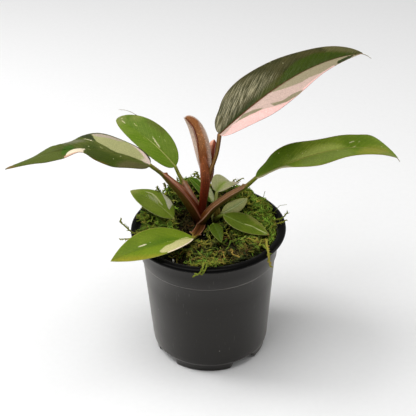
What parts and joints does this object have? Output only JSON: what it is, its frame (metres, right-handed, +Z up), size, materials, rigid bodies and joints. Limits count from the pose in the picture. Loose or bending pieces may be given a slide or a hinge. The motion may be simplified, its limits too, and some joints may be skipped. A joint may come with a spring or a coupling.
{
  "type": "potted philodendron",
  "caption": "Young pink princess philodendron with long green and pink leaves, growing in a round black nursery pot filled with soil and moss.",
  "frame": {"origin": "on the pot's axis, on the surface that the pot's feet stand on", "axes": "+X to the right along the spread of the two longest leaves, +Y away from the viewer, +Z up along the pot's axis"},
  "size_m": [0.2615, 0.1101, 0.2049],
  "materials": {
    "plastic": "satin",
    "soil": "matte",
    "moss": "matte",
    "stem": "satin",
    "stalk": "satin",
    "bract": "satin",
    "leaf_pink": "satin",
    "leaf_new": "satin",
    "leaf_green": "satin"
  },
  "bodies": {
    "root": {"pot": "plastic", "soil": "soil", "moss": "moss", "stem": "stem", "side_stem": "stem", "sheath_tall": "stalk", "stalk_tall_right": "stalk", "stalk_right": "stalk", "stalk_left": "stalk", "stalk_back_left": "stalk", "stalk_mid_left": "stalk", "stalk_front_left": "stalk", "stalk_front_right": "stalk", "stalk_mid_right": "stalk", "stalk_back_right": "stalk", "stalk_back": "stalk", "stalk_front": "stalk", "bract_tall": "bract", "bract_low": "bract", "leaf_tall_right": "leaf_pink", "leaf_left": "leaf_pink", "leaf_unfurling": "leaf_new", "leaf_right": "leaf_green", "leaf_back_left": "leaf_green", "leaf_mid_left": "leaf_green", "leaf_front_left": "leaf_green", "leaf_front_right": "leaf_green", "leaf_mid_right": "leaf_green", "leaf_back_right": "leaf_green", "leaf_back": "leaf_green", "leaf_front": "leaf_green"}
  },
  "joints": []
}
